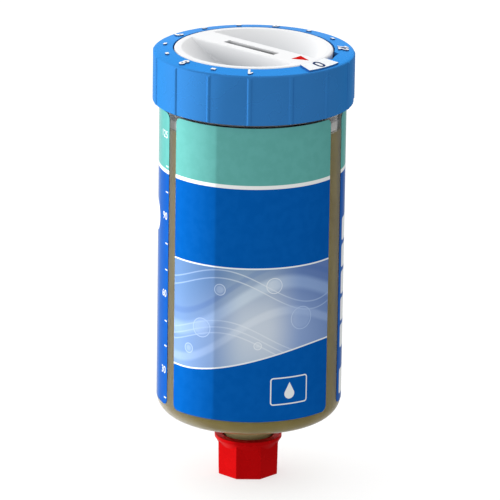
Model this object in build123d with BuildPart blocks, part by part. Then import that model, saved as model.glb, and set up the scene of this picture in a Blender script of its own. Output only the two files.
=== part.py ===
from build123d import *
from math import cos, radians, sin, sqrt
import os

os.makedirs("parts", exist_ok=True)

# Gas-driven single-point grease lubricator with a 125 ml charge, standing on its transport plug.
# Millimetres. +Z is the long axis, the front of the label faces -Y, and the origin is at the centre of the plug's foot.
# An angle round the axis, called a bearing here, is counted from the front (-Y) towards +X.


def bearing(angle, radius=1.0):
    """Point in plan at a bearing and radius."""
    return (radius * sin(radians(angle)), -radius * cos(radians(angle)))


# ---------------------------------------------------------------- driving dimensions
# grease container
BODY_R = 24.9
BODY_BORE_R = 23.3
BODY_FLOOR_Z = 17.1
BODY_CORNER_R = 6.06
BODY_CORNER_H = 5.31
BODY_TOP_Z = 110.0
SEAT_TOP_Z = 103.8  # the straight wall that a 50 mm clamp grips ends here, and the neck above flares a little
NECK_R = 25.05
FLANGE_R = 25.6
FLANGE_H = 1.2
COLLAR_R = 6.8
NOZZLE_R = 6.58
NOZZLE_TOP_Z = 11.05
NOZZLE_END_Z = 1.8
OUTLET_R = 3.0
FLOOR_T = 1.8

# label
LABEL_T = 0.1
LABEL_LOW_Z = 22.25
LABEL_TOP_Z = 103.6
FRONT_LABEL = (-53.8, 55.9)
REAR_LABEL = (71.0, 298.3)
LABEL_CORNER = 2.2

# transport plug
PLUG_FLAT_BOTTOM = 15.8
PLUG_FLAT_TOP = 16.1
PLUG_HEX_H = 9.4
PLUG_TURN = 1.5
PLUG_BORE_R = 7.2
PLUG_FLOOR = 1.0
PLUG_RIM_R = 9.1
PLUG_TOP_Z = 11.0

# grip ring
RING_R = 26.8
RING_RIB_H = 0.3
RING_RIB_R = 0.85
RING_RIBS = 15
RING_FIRST_RIB = -2.0
RING_LOW_Z = 104.9
RING_EDGE_Z = 118.25
RING_LIP_Z = 118.9
RING_LIP_R = 21.55
RING_EDGE_ROUND = 1.1
SEAL_BORE_R = 22.6

# figures on the ring
MARK_PITCH = 24.0
MARK_FIRST = -2.1
MARK_RADIUS = 23.85
MARK_H = 0.24
ZERO_BEARING = 46.6
TILE_IN_R = RING_LIP_R
TILE_OUT_R = 25.9
TILE_LEFT = 34.6
TILE_RIGHT = 59.8
TILE_RISE = 0.30
TILE_FILM = 0.08

# selector dial
DIAL_R = 21.2
DIAL_TOP_Z = 118.98
DIAL_BEARING = 47.0
BOWL_R = 19.25
BOWL_DEPTH = 6.5
BAR_HALF = 4.1
SLOT_L = 18.2
SLOT_W = 2.5
SLOT_DEPTH = 3.2
DIAL_WALL = 1.1
DIAL_FLANGE_R = 22.2
DIAL_FLANGE_Z = 112.4

# drive unit
WELL_R = 18.5
WELL_LOW_Z = 102.9
BOARD_Z = 109.3
BOARD_T = 0.8
CELL_R = 5.8
CELL_OFFSET = 9.2
CELL_LOW_Z = 103.9
CELL_H = 4.8
PORT = (0.0, 11.0)

# piston
PISTON_R = 23.0
PISTON_LIP_Z = 99.0
PISTON_TOP_Z = 106.0
SEAL_R = 23.25


# ---------------------------------------------------------------- container: one clear moulding, body, floor, collar and nozzle
corner_x = BODY_R - BODY_CORNER_R
corner_z = BODY_FLOOR_Z + BODY_CORNER_H
inner_a = BODY_BORE_R - corner_x
inner_b = corner_z - BODY_FLOOR_Z - FLOOR_T
floor_in_z = BODY_FLOOR_Z + FLOOR_T
with BuildPart() as container:
    with BuildSketch(Plane.XZ) as container_section:
        with BuildLine() as container_line:
            Polyline(
                (OUTLET_R, NOZZLE_END_Z),
                (NOZZLE_R - 0.5, NOZZLE_END_Z),
                (NOZZLE_R, NOZZLE_END_Z + 0.5),
                (NOZZLE_R, NOZZLE_TOP_Z),
                (COLLAR_R, NOZZLE_TOP_Z + 0.22),
                (COLLAR_R, BODY_FLOOR_Z),
                (corner_x, BODY_FLOOR_Z),
            )
            EllipticalCenterArc((corner_x, corner_z), BODY_CORNER_R, BODY_CORNER_H, start_angle=270, arc_size=90)
            Polyline(
                (BODY_R, corner_z),
                (BODY_R, SEAT_TOP_Z),
                (NECK_R, BODY_TOP_Z - FLANGE_H - 0.4),
                (FLANGE_R, BODY_TOP_Z - FLANGE_H),
                (FLANGE_R, BODY_TOP_Z),
                (BODY_BORE_R + 0.5, BODY_TOP_Z),
                (BODY_BORE_R, BODY_TOP_Z - 0.8),
                (BODY_BORE_R, corner_z),
            )
            EllipticalCenterArc((corner_x, corner_z), inner_a, inner_b, start_angle=270, arc_size=90)
            Polyline(
                (corner_x, floor_in_z),
                (OUTLET_R + 1.0, floor_in_z),
                (OUTLET_R, floor_in_z - 1.0),
                (OUTLET_R, NOZZLE_END_Z),
            )
        make_face()
    revolve(axis=Axis.Z)
container.part.label = "container"
export_step(container.part, "parts/container.step")


# ---------------------------------------------------------------- printed film labels, each wrapped round part of the body
def label_panel(start, end):
    with BuildPart() as panel:
        with BuildSketch(Plane.XZ.rotated((0, 0, 0))) as strip:
            with Locations(((BODY_R + LABEL_T / 2), (LABEL_LOW_Z + LABEL_TOP_Z) / 2)):
                Rectangle(LABEL_T, LABEL_TOP_Z - LABEL_LOW_Z)
        # the section lies on bearing 90, so it is turned back to the panel's first edge
        revolve(axis=Axis.Z, revolution_arc=end - start)
        corners = [e for e in panel.edges().filter_by(GeomType.LINE) if e.length < 2 * LABEL_T]
        fillet(corners, LABEL_CORNER)
    return panel.part.rotate(Axis.Z, start - 90)


front_label = label_panel(*FRONT_LABEL)
front_label.label = "front_label"
export_step(front_label, "parts/front_label.step")

rear_label = label_panel(*REAR_LABEL)
rear_label.label = "rear_label"
export_step(rear_label, "parts/rear_label.step")

# ---------------------------------------------------------------- transport plug: octagon body, conical shoulder, round rim, hollow from above
taper = -0.9
with BuildPart() as transport_plug:
    with BuildSketch(Plane.XY):
        RegularPolygon(radius=PLUG_FLAT_BOTTOM / 2, side_count=8, major_radius=False, rotation=22.5 + PLUG_TURN)
    extrude(amount=PLUG_HEX_H, taper=taper)
    chamfer(transport_plug.faces().sort_by(Axis.Z)[0].edges(), 0.2)
    with BuildSketch(Plane.XZ):
        with BuildLine():
            Polyline(
                (0, 7.6),
                (PLUG_FLAT_TOP / 2 - 0.35, 7.6),
                (8.95, 9.9),
                (PLUG_RIM_R, 10.05),
                (PLUG_RIM_R, PLUG_TOP_Z - 0.15),
                (PLUG_RIM_R - 0.15, PLUG_TOP_Z),
                (0, PLUG_TOP_Z),
                (0, 7.6),
            )
        make_face()
    revolve(axis=Axis.Z)
    with Locations((0, 0, PLUG_TOP_Z)):
        Hole(PLUG_BORE_R, depth=PLUG_TOP_Z - PLUG_FLOOR)
transport_plug.part.label = "transport_plug"
export_step(transport_plug.part, "parts/transport_plug.step")

with BuildPart() as plug_seal:
    with BuildSketch(Plane.XY.offset(PLUG_FLOOR)):
        Circle(6.6)
        Circle(1.6, mode=Mode.SUBTRACT)
    extrude(amount=0.5)
    fillet(plug_seal.edges().filter_by(GeomType.CIRCLE).group_by(Axis.Z)[-1], 0.12)
plug_seal.part.label = "plug_seal"
export_step(plug_seal.part, "parts/plug_seal.step")

# ---------------------------------------------------------------- grease charge, from the piston down to the outlet
gap = 0.05
with BuildPart() as grease_charge:
    with BuildSketch(Plane.XZ):
        with BuildLine():
            Polyline(
                (0, NOZZLE_END_Z + 0.3),
                (OUTLET_R - gap, NOZZLE_END_Z + 0.3),
                (OUTLET_R - gap, floor_in_z - 1.0),
                (OUTLET_R + 1.0 - gap, floor_in_z + gap),
                (corner_x, floor_in_z + gap),
            )
            EllipticalCenterArc((corner_x, corner_z), inner_a - gap, inner_b - gap, start_angle=270, arc_size=90)
            Polyline(
                (BODY_BORE_R - gap, corner_z),
                (BODY_BORE_R - gap, PISTON_LIP_Z - gap),
                (22.6, PISTON_LIP_Z - gap),
                (19.5, PISTON_LIP_Z + 0.6 - gap),
                (14.0, PISTON_LIP_Z + 1.6 - gap),
                (0, PISTON_LIP_Z + 1.6 - gap),
                (0, NOZZLE_END_Z + 0.3),
            )
        make_face()
    revolve(axis=Axis.Z)
grease_charge.part.label = "grease_charge"
export_step(grease_charge.part, "parts/grease_charge.step")

# ---------------------------------------------------------------- piston, a shallow cup open upwards, with a groove for its seal
with BuildPart() as piston:
    with BuildSketch(Plane.XZ):
        with BuildLine():
            Polyline(
                (0, PISTON_LIP_Z + 1.6),
                (14.0, PISTON_LIP_Z + 1.6),
                (19.5, PISTON_LIP_Z + 0.6),
                (22.6, PISTON_LIP_Z),
                (PISTON_R, PISTON_LIP_Z + 0.2),
                (PISTON_R, 101.6),
                (21.35, 101.6),
                (21.35, 103.6),
                (PISTON_R, 103.6),
                (PISTON_R, PISTON_TOP_Z - 0.4),
                (PISTON_R - 0.4, PISTON_TOP_Z),
                (20.0, PISTON_TOP_Z),
                (19.4, PISTON_TOP_Z - 0.6),
                (19.2, 102.9),
                (18.5, 102.2),
                (0, 102.2),
                (0, PISTON_LIP_Z + 1.6),
            )
        make_face()
    revolve(axis=Axis.Z)
    # stiffening rings on the gas side
    with BuildSketch(Plane.XY.offset(102.2)):
        for r in (6.0, 12.5):
            Circle(r + 0.4)
            Circle(r - 0.4, mode=Mode.SUBTRACT)
    extrude(amount=0.3)
piston.part.label = "piston"
export_step(piston.part, "parts/piston.step")

with BuildPart() as piston_seal:
    with BuildSketch(Plane.XZ):
        with BuildLine():
            Polyline(
                (21.4, 101.7),
                (22.4, 101.7),
                (22.75, 101.95),
                (SEAL_R, 101.75),
                (SEAL_R, 102.25),
                (22.85, 102.6),
                (SEAL_R, 102.95),
                (SEAL_R, 103.45),
                (22.75, 103.25),
                (22.4, 103.5),
                (21.4, 103.5),
                close=True,
            )
        make_face()
    revolve(axis=Axis.Z)
piston_seal.part.label = "piston_seal"
export_step(piston_seal.part, "parts/piston_seal.step")

# ---------------------------------------------------------------- drive housing: flange on the container's rim, spigot with seal groove, well for the cells
cell_spots = [(-CELL_OFFSET, 0), (CELL_OFFSET, 0)]
SCREW_R = 18.5
screw_spots = [bearing(a, SCREW_R) for a in (30, 150, 270)]
with BuildPart() as drive_housing:
    with BuildSketch(Plane.XZ):
        with BuildLine():
            Polyline(
                (0, WELL_LOW_Z),
                (WELL_R - 0.6, WELL_LOW_Z),
                (WELL_R, WELL_LOW_Z + 0.6),
                (WELL_R, 106.5),
                (22.9, 106.5),
                (23.2, 106.8),
                (23.2, 107.0),
                (21.55, 107.0),
                (21.55, 108.7),
                (23.2, 108.7),
                (23.2, BODY_TOP_Z),
                (25.5, BODY_TOP_Z),
                (25.5, 111.2),
                (23.4, 111.2),
                (23.4, 112.1),
                (20.2, 112.1),
                (20.2, BOARD_Z),
                (17.5, BOARD_Z),
                (17.5, 103.7),
                (3.1, 103.7),
                (3.1, 109.9),
                (2.06, 109.9),
                (2.06, 104.9),
                (0, 104.9),
                (0, WELL_LOW_Z),
            )
        make_face()
    revolve(axis=Axis.Z)
    # nests that locate the two cells
    with BuildSketch(Plane.XY.offset(103.7)):
        with Locations(*cell_spots):
            Circle(CELL_R + 1.1)
        Circle(3.0)
    extrude(amount=3.0)
    with BuildSketch(Plane.XY.offset(103.7)):
        with Locations(*cell_spots):
            Circle(CELL_R + 0.12)
    extrude(amount=3.0, mode=Mode.SUBTRACT)
    with BuildSketch(Plane.XY.offset(103.7)):
        with Locations((-15.6, 0), (15.6, 0)):
            Rectangle(2.4, 2.6)
    extrude(amount=3.0, mode=Mode.SUBTRACT)
    # the shaft's blind bearing stays open and the gas port goes through the floor
    with BuildSketch(Plane.XY.offset(104.9)):
        Circle(2.06)
    extrude(amount=6.0, mode=Mode.SUBTRACT)
    with BuildSketch(Plane.XY.offset(WELL_LOW_Z)):
        with Locations(PORT):
            Circle(1.6)
    extrude(amount=0.8, mode=Mode.SUBTRACT)
    with BuildSketch(Plane.XY.offset(BOARD_Z - 3.2)):
        with Locations(*screw_spots):
            Circle(0.6)
    extrude(amount=3.2, mode=Mode.SUBTRACT)
drive_housing.part.label = "drive_housing"
export_step(drive_housing.part, "parts/drive_housing.step")

with BuildPart() as housing_seal:
    with BuildSketch(Plane.XZ):
        with Locations((22.41, 107.85)):
            Circle(0.84)
    revolve(axis=Axis.Z)
housing_seal.part.label = "housing_seal"
export_step(housing_seal.part, "parts/housing_seal.step")

with BuildPart() as gas_membrane:
    with BuildSketch(Plane.XY.offset(103.7)):
        with Locations(PORT):
            Circle(3.0)
    extrude(amount=0.2)
gas_membrane.part.label = "gas_membrane"
export_step(gas_membrane.part, "parts/gas_membrane.step")

with BuildPart() as membrane_ring:
    with BuildSketch(Plane.XY.offset(103.9)):
        with Locations(PORT):
            Circle(3.2)
            Circle(2.0, mode=Mode.SUBTRACT)
    extrude(amount=0.8)
    chamfer(membrane_ring.edges().group_by(Axis.Z)[-1], 0.15)
membrane_ring.part.label = "membrane_ring"
export_step(membrane_ring.part, "parts/membrane_ring.step")

# two gas-generating button cells, one node
with BuildPart() as gas_cells:
    with BuildSketch(Plane.XY.offset(CELL_LOW_Z)):
        with Locations(*cell_spots):
            Circle(CELL_R)
    extrude(amount=CELL_H - 0.7)
    with BuildSketch(Plane.XY.offset(CELL_LOW_Z + CELL_H - 0.7)):
        with Locations(*cell_spots):
            Circle(CELL_R - 1.1)
    extrude(amount=0.7)
    fillet(gas_cells.edges().filter_by(GeomType.CIRCLE).group_by(Axis.Z)[0], 0.4)
    rims = [e for e in gas_cells.edges().filter_by(GeomType.CIRCLE) if abs(e.center().Z - (CELL_LOW_Z + CELL_H - 0.7)) < 0.01 and abs(e.radius - CELL_R) < 0.01]
    fillet(rims, 0.35)
gas_cells.part.label = "gas_cells"
export_step(gas_cells.part, "parts/gas_cells.step")

# base strips: a flat tongue under each cell and an upright tab to the board
with BuildPart() as cell_base_strips:
    for s in (-1, 1):
        with BuildSketch(Plane.XZ.offset(-1.0)):
            with BuildLine():
                Polyline(
                    (s * 6.0, 103.7),
                    (s * 16.8, 103.7),
                    (s * 16.8, BOARD_Z),
                    (s * 16.6, BOARD_Z),
                    (s * 16.6, 103.9),
                    (s * 6.0, 103.9),
                    close=True,
                )
            make_face()
        extrude(amount=2.0)
cell_base_strips.part.label = "cell_base_strips"
export_step(cell_base_strips.part, "parts/cell_base_strips.step")

# bow springs between each cell's cap and the underside of the board
cap_z = CELL_LOW_Z + CELL_H
with BuildPart() as cell_springs:
    for s in (-1, 1):
        with BuildSketch(Plane.XZ.offset(-1.0)):
            with BuildLine():
                Polyline(
                    (s * 6.6, cap_z + 0.45),
                    (s * 8.0, cap_z + 0.45),
                    (s * 8.9, cap_z),
                    (s * 9.5, cap_z),
                    (s * 10.4, cap_z + 0.45),
                    (s * 11.8, cap_z + 0.45),
                    (s * 11.8, cap_z + 0.6),
                    (s * 10.3, cap_z + 0.6),
                    (s * 9.4, cap_z + 0.15),
                    (s * 9.0, cap_z + 0.15),
                    (s * 8.1, cap_z + 0.6),
                    (s * 6.6, cap_z + 0.6),
                    close=True,
                )
            make_face()
        extrude(amount=2.0)
cell_springs.part.label = "cell_springs"
export_step(cell_springs.part, "parts/cell_springs.step")

with BuildPart() as circuit_board:
    with BuildSketch(Plane.XY.offset(BOARD_Z)):
        Circle(19.9)
        Circle(3.4, mode=Mode.SUBTRACT)
        with Locations(*screw_spots):
            Circle(0.8, mode=Mode.SUBTRACT)
        with Locations(bearing(90, 19.9)):
            Circle(1.0, mode=Mode.SUBTRACT)
    extrude(amount=BOARD_T)
circuit_board.part.label = "circuit_board"
export_step(circuit_board.part, "parts/circuit_board.step")

board_top = BOARD_Z + BOARD_T
resistor_spots = [bearing(a, 13.8) for a in (-170, -140, -110, -80, -50, -20, 10, 50, 75, 110)]
with BuildPart() as timing_resistors:
    for a in (-170, -140, -110, -80, -50, -20, 10, 50, 75, 110):
        with BuildSketch(Plane(origin=(*bearing(a, 13.8), board_top), x_dir=(*bearing(a + 90), 0))):
            Rectangle(3.2, 1.6)
        extrude(amount=0.55)
    chamfer(timing_resistors.edges().group_by(Axis.Z)[-1], 0.08)
timing_resistors.part.label = "timing_resistors"
export_step(timing_resistors.part, "parts/timing_resistors.step")

with BuildPart() as board_screws:
    with BuildSketch(Plane.XY.offset(BOARD_Z - 3.0)):
        with Locations(*screw_spots):
            Circle(0.55)
    extrude(amount=3.0 + BOARD_T)
    with BuildSketch(Plane.XY.offset(board_top)):
        with Locations(*screw_spots):
            Circle(1.3)
    extrude(amount=0.8)
    fillet(board_screws.edges().filter_by(GeomType.CIRCLE).group_by(Axis.Z)[-1], 0.3)
    with BuildSketch(Plane.XY.offset(board_top + 0.8)):
        with Locations(*screw_spots):
            Rectangle(1.6, 0.3)
            Rectangle(0.3, 1.6)
    extrude(amount=-0.4, mode=Mode.SUBTRACT)
board_screws.part.label = "board_screws"
export_step(board_screws.part, "parts/board_screws.step")

# ---------------------------------------------------------------- grip ring: fifteen low ribs outside, snap groove inside, sloped face with a lip round the dial
slope = (RING_LIP_Z - RING_EDGE_Z) / (RING_R - 0.1 - RING_LIP_R)


def face_z(r):
    """Height of the ring's sloped upper face at a radius."""
    return RING_EDGE_Z + slope * (RING_R - 0.1 - r)


rib_centre = RING_R + RING_RIB_H - RING_RIB_R
out_r = RING_R + RING_RIB_H
with BuildPart() as grip_ring:
    with BuildSketch(Plane.XY.offset(RING_LOW_Z)):
        Circle(RING_R)
        with Locations(*[bearing(RING_FIRST_RIB + 360 / RING_RIBS * k, rib_centre) for k in range(RING_RIBS)]):
            Circle(RING_RIB_R)
    extrude(amount=20)
    # outer envelope: small bevel below, rounded upper edge, sloped face
    with BuildSketch(Plane.XZ):
        with BuildLine():
            Polyline(
                (0, RING_LOW_Z),
                (out_r - 0.2, RING_LOW_Z),
                (out_r, RING_LOW_Z + 0.2),
                (out_r, face_z(out_r) - RING_EDGE_ROUND),
            )
            TangentArc(
                (out_r, face_z(out_r) - RING_EDGE_ROUND),
                (out_r - RING_EDGE_ROUND, face_z(out_r - RING_EDGE_ROUND) - 0.02),
                tangent=(0, 1),
            )
            Polyline(
                (out_r - RING_EDGE_ROUND, face_z(out_r - RING_EDGE_ROUND) - 0.02),
                (10, face_z(10)),
                (0, face_z(10)),
                (0, RING_LOW_Z),
            )
        make_face()
    revolve(axis=Axis.Z, mode=Mode.INTERSECT)
    # raised field of the zero figure, a sector standing on the sloped face
    with BuildSketch(Plane.XZ) as tile_section:
        with BuildLine():
            Polyline(
                (TILE_IN_R - 0.5, face_z(TILE_IN_R) - 1.0),
                (TILE_OUT_R, face_z(TILE_OUT_R) - 1.0),
                (TILE_OUT_R, face_z(TILE_OUT_R) + TILE_RISE),
                (TILE_IN_R - 0.5, face_z(TILE_IN_R - 0.5) + TILE_RISE),
                close=True,
            )
        make_face()
    tile_blank = revolve(axis=Axis.Z, revolution_arc=TILE_RIGHT - TILE_LEFT, mode=Mode.PRIVATE)
    add(tile_blank.rotate(Axis.Z, TILE_LEFT - 90))
    # inside: snap skirt, groove over the two flanges, clearance over the housing rim, seal bore, lip
    with BuildSketch(Plane.XZ):
        with BuildLine():
            Polyline(
                (0, RING_LOW_Z - 1),
                (25.45, RING_LOW_Z - 1),
                (25.15, RING_LOW_Z + 0.3),
                (25.15, 108.4),
                (25.7, 108.75),
                (25.7, 111.2),
                (23.8, 111.2),
                (23.8, 112.6),
                (SEAL_BORE_R, 112.9),
                (SEAL_BORE_R, 115.4),
                (RING_LIP_R, 115.8),
                (RING_LIP_R, 125),
                (0, 125),
                (0, RING_LOW_Z - 1),
            )
        make_face()
    revolve(axis=Axis.Z, mode=Mode.SUBTRACT)
    # small pocket in the lip beside the raised field
    with BuildSketch(Plane.XY.offset(116.6)):
        with BuildLine():
            Line(bearing(61.8, 21.0), bearing(64.5, 23.05))
            RadiusArc(bearing(64.5, 23.05), bearing(79.5, 22.95), 23.0)
            Line(bearing(79.5, 22.95), bearing(84.0, 21.0))
            Line(bearing(84.0, 21.0), bearing(61.8, 21.0))
        make_face()
    extrude(amount=6, mode=Mode.SUBTRACT)
grip_ring.part.label = "grip_ring"
export_step(grip_ring.part, "parts/grip_ring.step")


def face_shell(low, high, inner, outer):
    """Closed band that follows the ring's sloped face between two heights above it."""
    with BuildPart(mode=Mode.PRIVATE) as band:
        with BuildSketch(Plane.XZ):
            with BuildLine():
                Polyline(
                    (inner, face_z(inner) + low),
                    (outer, face_z(outer) + low),
                    (outer, face_z(outer) + high),
                    (inner, face_z(inner) + high),
                    close=True,
                )
            make_face()
        revolve(axis=Axis.Z)
    return band.part


def figure(text, stroke=0.62, w=1.9, h=2.9):
    """Plain round-cornered numeral as a flat sketch, centred, top towards +Y."""
    hw, hh = w / 2 - stroke / 2, h / 2 - stroke / 2
    with BuildSketch(mode=Mode.PRIVATE) as s:
        if text == "0":
            SlotOverall(h, w, rotation=90)
            SlotOverall(h - 2 * stroke, w - 2 * stroke, rotation=90, mode=Mode.SUBTRACT)
        elif text == "1":
            with Locations((0.25, 0)):
                Rectangle(stroke, h)
            with BuildLine():
                Polyline(
                    (0.25 + stroke / 2, h / 2),
                    (0.25 - stroke / 2, h / 2),
                    (-0.85, h / 2 - 0.75),
                    (-0.65, h / 2 - 1.2),
                    (0.25, h / 2 - 0.7),
                    close=True,
                )
            make_face()
        elif text == "2":
            with Locations((0, hh - hw)):
                Circle(hw + stroke / 2)
                Circle(hw - stroke / 2, mode=Mode.SUBTRACT)
            with Locations((-w, hh - hw - w / 2)):
                Rectangle(2 * w, w, mode=Mode.SUBTRACT)
            with Locations((-w / 2, hh - hw - w / 2 - 0.0)):
                Rectangle(w, w, mode=Mode.SUBTRACT)
            with BuildLine():
                Polyline(
                    (hw + stroke / 2, hh - hw + 0.05),
                    (hw - stroke / 2, hh - hw + 0.05),
                    (hw - stroke / 2 - 0.1, hh - hw - 0.2),
                    (-w / 2, -h / 2 + stroke),
                    (-w / 2, -h / 2),
                    (-w / 2 + 0.8, -h / 2),
                    (hw + stroke / 2 - 0.05, hh - hw - 0.35),
                    close=True,
                )
            make_face()
            with Locations((0, -h / 2 + stroke / 2)):
                Rectangle(w, stroke)
        elif text == "3":
            rr = h / 4 + stroke / 4
            for y in (h / 2 - rr, -h / 2 + rr):
                with Locations((-0.05, y)):
                    Circle(rr)
            for y in (h / 2 - rr, -h / 2 + rr):
                with Locations((-0.05, y)):
                    Circle(rr - stroke, mode=Mode.SUBTRACT)
            with Locations((-w / 2 - 0.15, 0)):
                Rectangle(1.3, h - 2 * stroke - 0.9, mode=Mode.SUBTRACT)
        elif text in "69":
            rr = w / 2
            flip = 1 if text == "6" else -1
            with Locations((0, flip * (-h / 2 + rr))):
                Circle(rr)
                Circle(rr - stroke, mode=Mode.SUBTRACT)
            with BuildLine():
                Polyline(
                    (flip * -rr, flip * (-h / 2 + rr)),
                    (flip * (-rr + stroke), flip * (-h / 2 + rr)),
                    (flip * (-rr + stroke + 0.15), flip * (-h / 2 + rr + 0.7)),
                    (flip * 0.75, flip * (h / 2 - 0.25)),
                    (flip * 0.45, flip * (h / 2)),
                    (flip * 0.1, flip * (h / 2)),
                    (flip * (-rr + 0.1), flip * (-h / 2 + rr + 0.8)),
                    close=True,
                )
            make_face()
    return s.sketch


# steps of the scale from the zero figure: one blank step each side, then 1 to 12 clockwise
scale = ["1", "-", "3", "-", "-", "6", "-", "-", "9", "-", "-", "12"]
with BuildPart() as ring_marks:
    for step, mark in enumerate(scale):
        b = MARK_FIRST - MARK_PITCH * step
        # the tops of the figures point outwards
        spot = Plane(origin=(*bearing(b, MARK_RADIUS), 117.4), x_dir=(*bearing(b - 90), 0), z_dir=(0, 0, 1))
        if mark == "-":
            with BuildSketch(spot):
                RectangleRounded(1.35, 0.95, 0.2)
            extrude(amount=3)
        elif mark == "12":
            for digit, shift in (("1", -1.05), ("2", 1.05)):
                with BuildSketch(spot):
                    with Locations((shift, 0)):
                        add(figure(digit, stroke=0.6, w=1.75, h=2.9))
                extrude(amount=3)
        else:
            with BuildSketch(spot):
                add(figure(mark, w=2.2, h=3.1) if mark == "3" else figure(mark))
            extrude(amount=3)
    add(face_shell(0, MARK_H, 21.6, 26.2), mode=Mode.INTERSECT)
ring_marks.part.label = "ring_marks"
export_step(ring_marks.part, "parts/ring_marks.step")

with BuildPart() as zero_field:
    with BuildSketch(Plane.XZ):
        with BuildLine():
            Polyline(
                (TILE_IN_R, face_z(TILE_IN_R) + TILE_RISE),
                (TILE_OUT_R, face_z(TILE_OUT_R) + TILE_RISE),
                (TILE_OUT_R, face_z(TILE_OUT_R) + TILE_RISE + TILE_FILM),
                (TILE_IN_R, face_z(TILE_IN_R) + TILE_RISE + TILE_FILM),
                close=True,
            )
        make_face()
    revolve(axis=Axis.Z, revolution_arc=TILE_RIGHT - TILE_LEFT)
zero_field_part = zero_field.part.rotate(Axis.Z, TILE_LEFT - 90)
zero_field_part.label = "zero_field"
export_step(zero_field_part, "parts/zero_field.step")

with BuildPart() as zero_figure:
    spot = Plane(origin=(*bearing(ZERO_BEARING, 23.7), 117.4), x_dir=(*bearing(ZERO_BEARING - 90), 0), z_dir=(0, 0, 1))
    with BuildSketch(spot):
        add(figure("0", stroke=0.62, w=2.5, h=3.7))
    extrude(amount=3)
    add(face_shell(TILE_RISE + TILE_FILM, TILE_RISE + TILE_FILM + 0.05, 21.2, 26.2), mode=Mode.INTERSECT)
zero_figure.part.label = "zero_figure"
export_step(zero_figure.part, "parts/zero_figure.step")

# ---------------------------------------------------------------- selector dial: bowl with a grip bar across it, sealed flange and shaft below
sphere_r = (BOWL_R**2 + BOWL_DEPTH**2) / (2 * BOWL_DEPTH)
sphere_z = DIAL_TOP_Z - BOWL_DEPTH + sphere_r
under_r = sphere_r + DIAL_WALL
ux, uy = bearing(DIAL_BEARING)
bar_plane = Plane(origin=(0, 0, 0), x_dir=(ux, uy, 0), z_dir=(0, 0, 1))


def under_z(r):
    return sphere_z - sqrt(under_r**2 - r**2)


def bowl_side(s):
    """Space on one side of the bar: part of the ball cut off by the bar's flank, with a fillet where they meet."""
    with BuildPart(mode=Mode.PRIVATE) as space:
        with BuildSketch(Plane(origin=(0, 0, 0), x_dir=(ux, uy, 0), z_dir=(uy, -ux, 0))):
            brim_r = sqrt(sphere_r**2 - (sphere_z - DIAL_TOP_Z - 2) ** 2)
            with BuildLine():
                RadiusArc((0, sphere_z - sphere_r), (brim_r, DIAL_TOP_Z + 2), -sphere_r)
                Polyline((brim_r, DIAL_TOP_Z + 2), (0, DIAL_TOP_Z + 2), (0, sphere_z - sphere_r))
            make_face()
        revolve(axis=Axis.Z)
        with BuildSketch(bar_plane.offset(sphere_z - sphere_r - 1)):
            with Locations((0, s * (BAR_HALF + 30))):
                Rectangle(120, 60)
        extrude(amount=sphere_r + 40, mode=Mode.INTERSECT)
        meet = [e for e in space.edges() if e.center().Z < DIAL_TOP_Z - 1.0]
        fillet(meet, 0.4)
    return space.part


with BuildPart() as selector_dial:
    with BuildSketch(Plane.XZ):
        with BuildLine():
            Polyline(
                (0, under_z(0)),
                (0, DIAL_TOP_Z),
                (DIAL_R - 0.55, DIAL_TOP_Z),
            )
            TangentArc((DIAL_R - 0.55, DIAL_TOP_Z), (DIAL_R, DIAL_TOP_Z - 0.55), tangent=(1, 0))
            Polyline(
                (DIAL_R, DIAL_TOP_Z - 0.55),
                (DIAL_R, 115.0),
                (DIAL_FLANGE_R, 115.0),
                (DIAL_FLANGE_R, 114.5),
                (21.1, 114.5),
                (21.1, 112.95),
                (DIAL_FLANGE_R, 112.95),
                (DIAL_FLANGE_R, DIAL_FLANGE_Z),
                (19.6, DIAL_FLANGE_Z),
                (19.6, under_z(15.5)),
                (15.5, under_z(15.5)),
            )
            RadiusArc((15.5, under_z(15.5)), (0, under_z(0)), under_r)
        make_face()
    revolve(axis=Axis.Z)
    add(bowl_side(1), mode=Mode.SUBTRACT)
    add(bowl_side(-1), mode=Mode.SUBTRACT)
    # edges round the two recesses, on the rim level
    brim = [
        e
        for e in selector_dial.edges()
        if abs(e.center().Z - DIAL_TOP_Z) < 0.001 and max((v.X**2 + v.Y**2) ** 0.5 for v in e.vertices()) < DIAL_R - 1.0
    ]
    fillet(brim, 0.45)
    # hollow under the bar, and the shaft that turns in the housing
    with BuildSketch(bar_plane.offset(104)):
        Rectangle(29, 2 * BAR_HALF - 3.4)
    extrude(amount=10.0, mode=Mode.SUBTRACT)
    with BuildSketch(Plane.XY.offset(110.6)):
        Circle(3.3)
    extrude(amount=4.0)
    with BuildSketch(Plane.XY.offset(105.2)):
        Circle(2.0)
    extrude(amount=6.0)
    # slot for a coin or screwdriver
    with BuildSketch(bar_plane.offset(DIAL_TOP_Z - SLOT_DEPTH)):
        with Locations((-0.4, -0.5)):
            RectangleRounded(SLOT_L, SLOT_W, 0.25)
    extrude(amount=SLOT_DEPTH + 1, mode=Mode.SUBTRACT)
selector_dial.part.label = "selector_dial"
export_step(selector_dial.part, "parts/selector_dial.step")

ARROW_BASE_R, ARROW_TIP_R, ARROW_HALF, ARROW_BEARING = 14.75, 19.05, 1.85, 49.7
arrow_plane = Plane(origin=(0, 0, 0), x_dir=(*bearing(ARROW_BEARING), 0), z_dir=(0, 0, 1))
with BuildPart() as dial_arrow:
    with BuildSketch(arrow_plane.offset(DIAL_TOP_Z)):
        with BuildLine():
            Polyline((ARROW_BASE_R, -ARROW_HALF), (ARROW_TIP_R, 0), (ARROW_BASE_R, ARROW_HALF), close=True)
        make_face()
    extrude(amount=0.08)
dial_arrow.part.label = "dial_arrow"
export_step(dial_arrow.part, "parts/dial_arrow.step")

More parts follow.
